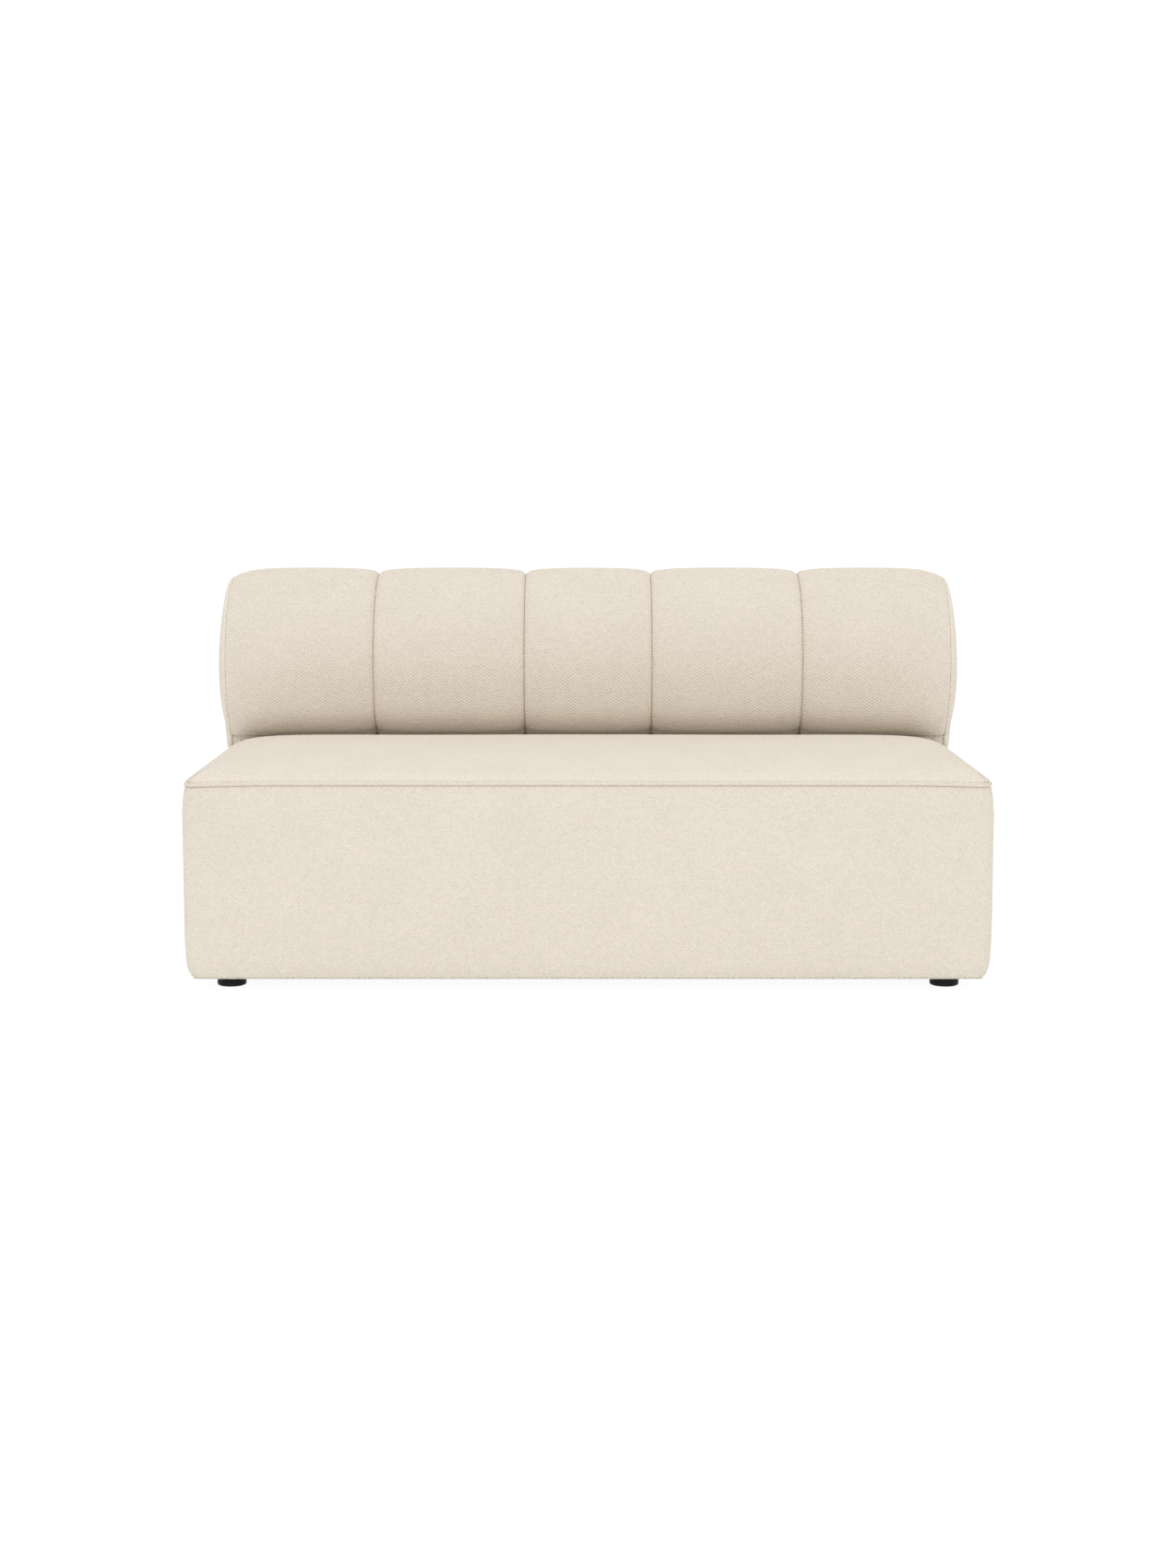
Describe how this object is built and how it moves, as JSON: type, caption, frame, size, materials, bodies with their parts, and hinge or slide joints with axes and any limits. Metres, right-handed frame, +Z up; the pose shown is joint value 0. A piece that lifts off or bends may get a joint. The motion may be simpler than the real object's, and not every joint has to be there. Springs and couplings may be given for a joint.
{
  "type": "modular sofa",
  "caption": "Straight armless sofa module with a crowned box seat on low round glides and a channelled roll back that overhangs the seat.",
  "frame": {"origin": "on the floor under the middle of the sofa, at the centre of its outer box", "axes": "+X to the sitter's left, along the sofa (right as seen from the front); +Y to the rear; +Z up"},
  "size_m": [1.66, 0.88, 0.837],
  "materials": {
    "cream_boucle": "chunky woven wool blend, matt",
    "foam": "cut polyurethane foam",
    "webbing": "woven elastic webbing",
    "dust_cloth": "black non-woven cloth",
    "plywood": "birch plywood, sanded",
    "pine": "planed pine",
    "hardboard": "hardboard",
    "black_plastic": "moulded, fine satin",
    "steel": "zinc plated"
  },
  "bodies": {
    "sofa": {"back_base_board": "plywood", "back_batten_front": "pine", "back_batten_low": "pine", "back_batten_top": "pine", "back_bolts": "steel", "back_channel_far_left": "cream_boucle", "back_channel_far_right": "cream_boucle", "back_channel_left": "cream_boucle", "back_channel_middle": "cream_boucle", "back_channel_right": "cream_boucle", "back_former_end_left": "plywood", "back_former_end_right": "plywood", "back_former_left": "plywood", "back_former_middle": "plywood", "back_former_right": "plywood", "back_nuts": "steel", "base_cover": "cream_boucle", "base_welt": "cream_boucle", "base_wrap_foam": "foam", "cleat_front": "pine", "cleat_rear": "pine", "corner_block_front_left": "pine", "corner_block_front_right": "pine", "corner_block_rear_left": "pine", "corner_block_rear_right": "pine", "cross_rail_left": "plywood", "cross_rail_right": "plywood", "dust_cover": "dust_cloth", "end_panel_left": "cream_boucle", "end_panel_right": "cream_boucle", "foot_front_left": "black_plastic", "foot_front_right": "black_plastic", "foot_rear_left": "black_plastic", "foot_rear_right": "black_plastic", "foot_studs": "steel", "front_rail": "plywood", "link_blocks": "pine", "link_pivot_plate_front": "steel", "link_pivot_plate_rear": "steel", "link_stud_plate_front": "steel", "link_stud_plate_rear": "steel", "neck_board": "hardboard", "neck_cover": "cream_boucle", "neck_foam": "foam", "rear_board": "hardboard", "rear_cover": "cream_boucle", "rear_foam": "foam", "rear_rail": "plywood", "roll_board": "hardboard", "roll_foam": "foam", "seat_comfort_layer": "foam", "seat_cover": "cream_boucle", "seat_foam_core": "foam", "seat_rear_rail": "plywood", "side_rail_left": "plywood", "side_rail_right": "plywood", "webbing_crosswise": "webbing", "webbing_lengthwise": "webbing"},
    "front_hook": {"link_hook_front": "steel"},
    "rear_hook": {"link_hook_rear": "steel"}
  },
  "joints": [
    {"name": "front_hook_swing", "type": "hinge", "parent": "sofa", "child": "front_hook", "pos_m": [-0.745, -0.14, 0.0185], "axis": [0, 0, 1], "range_deg": [-90, 0]},
    {"name": "rear_hook_swing", "type": "hinge", "parent": "sofa", "child": "rear_hook", "pos_m": [-0.745, 0.14, 0.0185], "axis": [0, 0, 1], "range_deg": [0, 90]}
  ]
}
